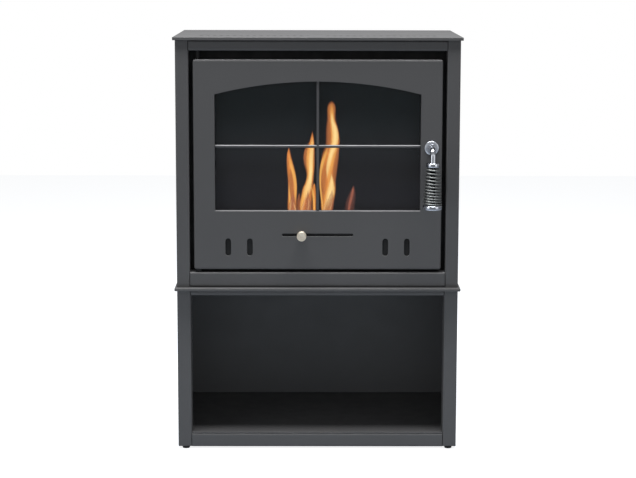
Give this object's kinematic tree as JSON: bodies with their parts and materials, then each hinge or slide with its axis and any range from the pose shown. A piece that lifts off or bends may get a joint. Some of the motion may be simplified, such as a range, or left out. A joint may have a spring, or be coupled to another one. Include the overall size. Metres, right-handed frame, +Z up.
{
  "type": "bioethanol fireplace",
  "caption": "Free-standing sheet-steel bioethanol fire cabinet with an arched glazed door, coil-grip handle and air slider, on an open log store.",
  "frame": {"origin": "centre of the bounding box at floor level, under the middle of the fireplace", "axes": "+Z up, +X to the right seen from the front, the door faces -Y"},
  "size_m": [0.61, 0.416, 0.888],
  "materials": {
    "powder_coat": "matt dark-grey powder coat with a fine texture",
    "black_steel": "heat-resistant matt black paint, slightly dulled by heat",
    "chrome": "polished chrome plating",
    "spring_steel": "bright drawn spring wire",
    "zinc": "dull zinc plating",
    "nickel": "turned nickel-plated steel with fine rings",
    "stainless": "brushed stainless steel, straw-tinted round the mouth",
    "glass": "clear ceramic glass with a faint smoky tint",
    "seal_tape": "woven glass-fibre tape",
    "ceramic_wool": "felted ceramic wool, sooted on top",
    "foot_plastic": "moulded black plastic"
  },
  "bodies": {
    "carcass": {"top_plate": "powder_coat", "left_side_panel": "powder_coat", "right_side_panel": "powder_coat", "rear_panel": "powder_coat", "cabinet_floor": "powder_coat", "top_rail": "powder_coat", "bottom_rail": "powder_coat", "inner_frame": "black_steel", "firebox_liner_left": "black_steel", "firebox_liner_right": "black_steel", "firebox_liner_back": "black_steel", "firebox_baffle": "black_steel", "burner_shelf": "black_steel", "hinge_pin_upper": "black_steel", "hinge_pin_lower": "black_steel", "hinge_washer": "black_steel", "latch_catch": "zinc", "mid_plate": "powder_coat", "store_left_panel": "powder_coat", "store_right_panel": "powder_coat", "store_back_panel": "powder_coat", "store_bottom_plate": "powder_coat", "store_floor": "powder_coat", "store_top_rail": "powder_coat", "store_plinth": "powder_coat", "foot_front_left": "foot_plastic", "foot_front_right": "foot_plastic", "foot_rear_left": "foot_plastic", "foot_rear_right": "foot_plastic"},
    "door": {"door_panel": "powder_coat", "window_bars": "powder_coat", "door_glass": "glass", "glass_seal": "seal_tape", "glass_clip_left_lower": "zinc", "glass_clip_left_upper": "zinc", "glass_clip_right_lower": "zinc", "glass_clip_right_upper": "zinc", "hinge_bush_lower": "black_steel", "hinge_bush_upper": "black_steel", "handle_rosette": "chrome", "handle_bush": "zinc", "damper_guide_lower": "black_steel", "damper_guide_upper_left": "black_steel", "damper_guide_upper_right": "black_steel"},
    "damper": {"damper_plate": "black_steel", "damper_shank": "zinc", "damper_nut": "zinc", "damper_knob": "nickel"},
    "handle": {"handle_stem": "chrome", "handle_collar": "chrome", "handle_coil": "spring_steel", "handle_end_cap": "chrome", "latch_cam": "zinc", "latch_nut": "zinc"},
    "burner": {"burner_top": "stainless", "burner_tank": "stainless", "ceramic_wool": "ceramic_wool"},
    "lid": {"burner_lid": "stainless"}
  },
  "joints": [
    {"name": "door_hinge", "type": "hinge", "parent": "carcass", "child": "door", "pos_m": [-0.2528, -0.134, 0.618], "axis": [0, 0, -1], "range_deg": [0, 110]},
    {"name": "handle_turn", "type": "hinge", "parent": "door", "child": "handle", "pos_m": [0.2405, -0.146, 0.6557], "axis": [0, -1, 0], "range_deg": [0, 90]},
    {"name": "damper_slide", "type": "slide", "parent": "door", "child": "damper", "axis": [1, 0, 0], "range_m": [-0.038, 0.058]},
    {"name": "burner_lift", "type": "slide", "parent": "carcass", "child": "burner", "axis": [0, 0, 1], "range_m": [0, 0.06]},
    {"name": "lid_slide", "type": "slide", "parent": "burner", "child": "lid", "axis": [0, -1, 0], "range_m": [0, 0.074]}
  ]
}
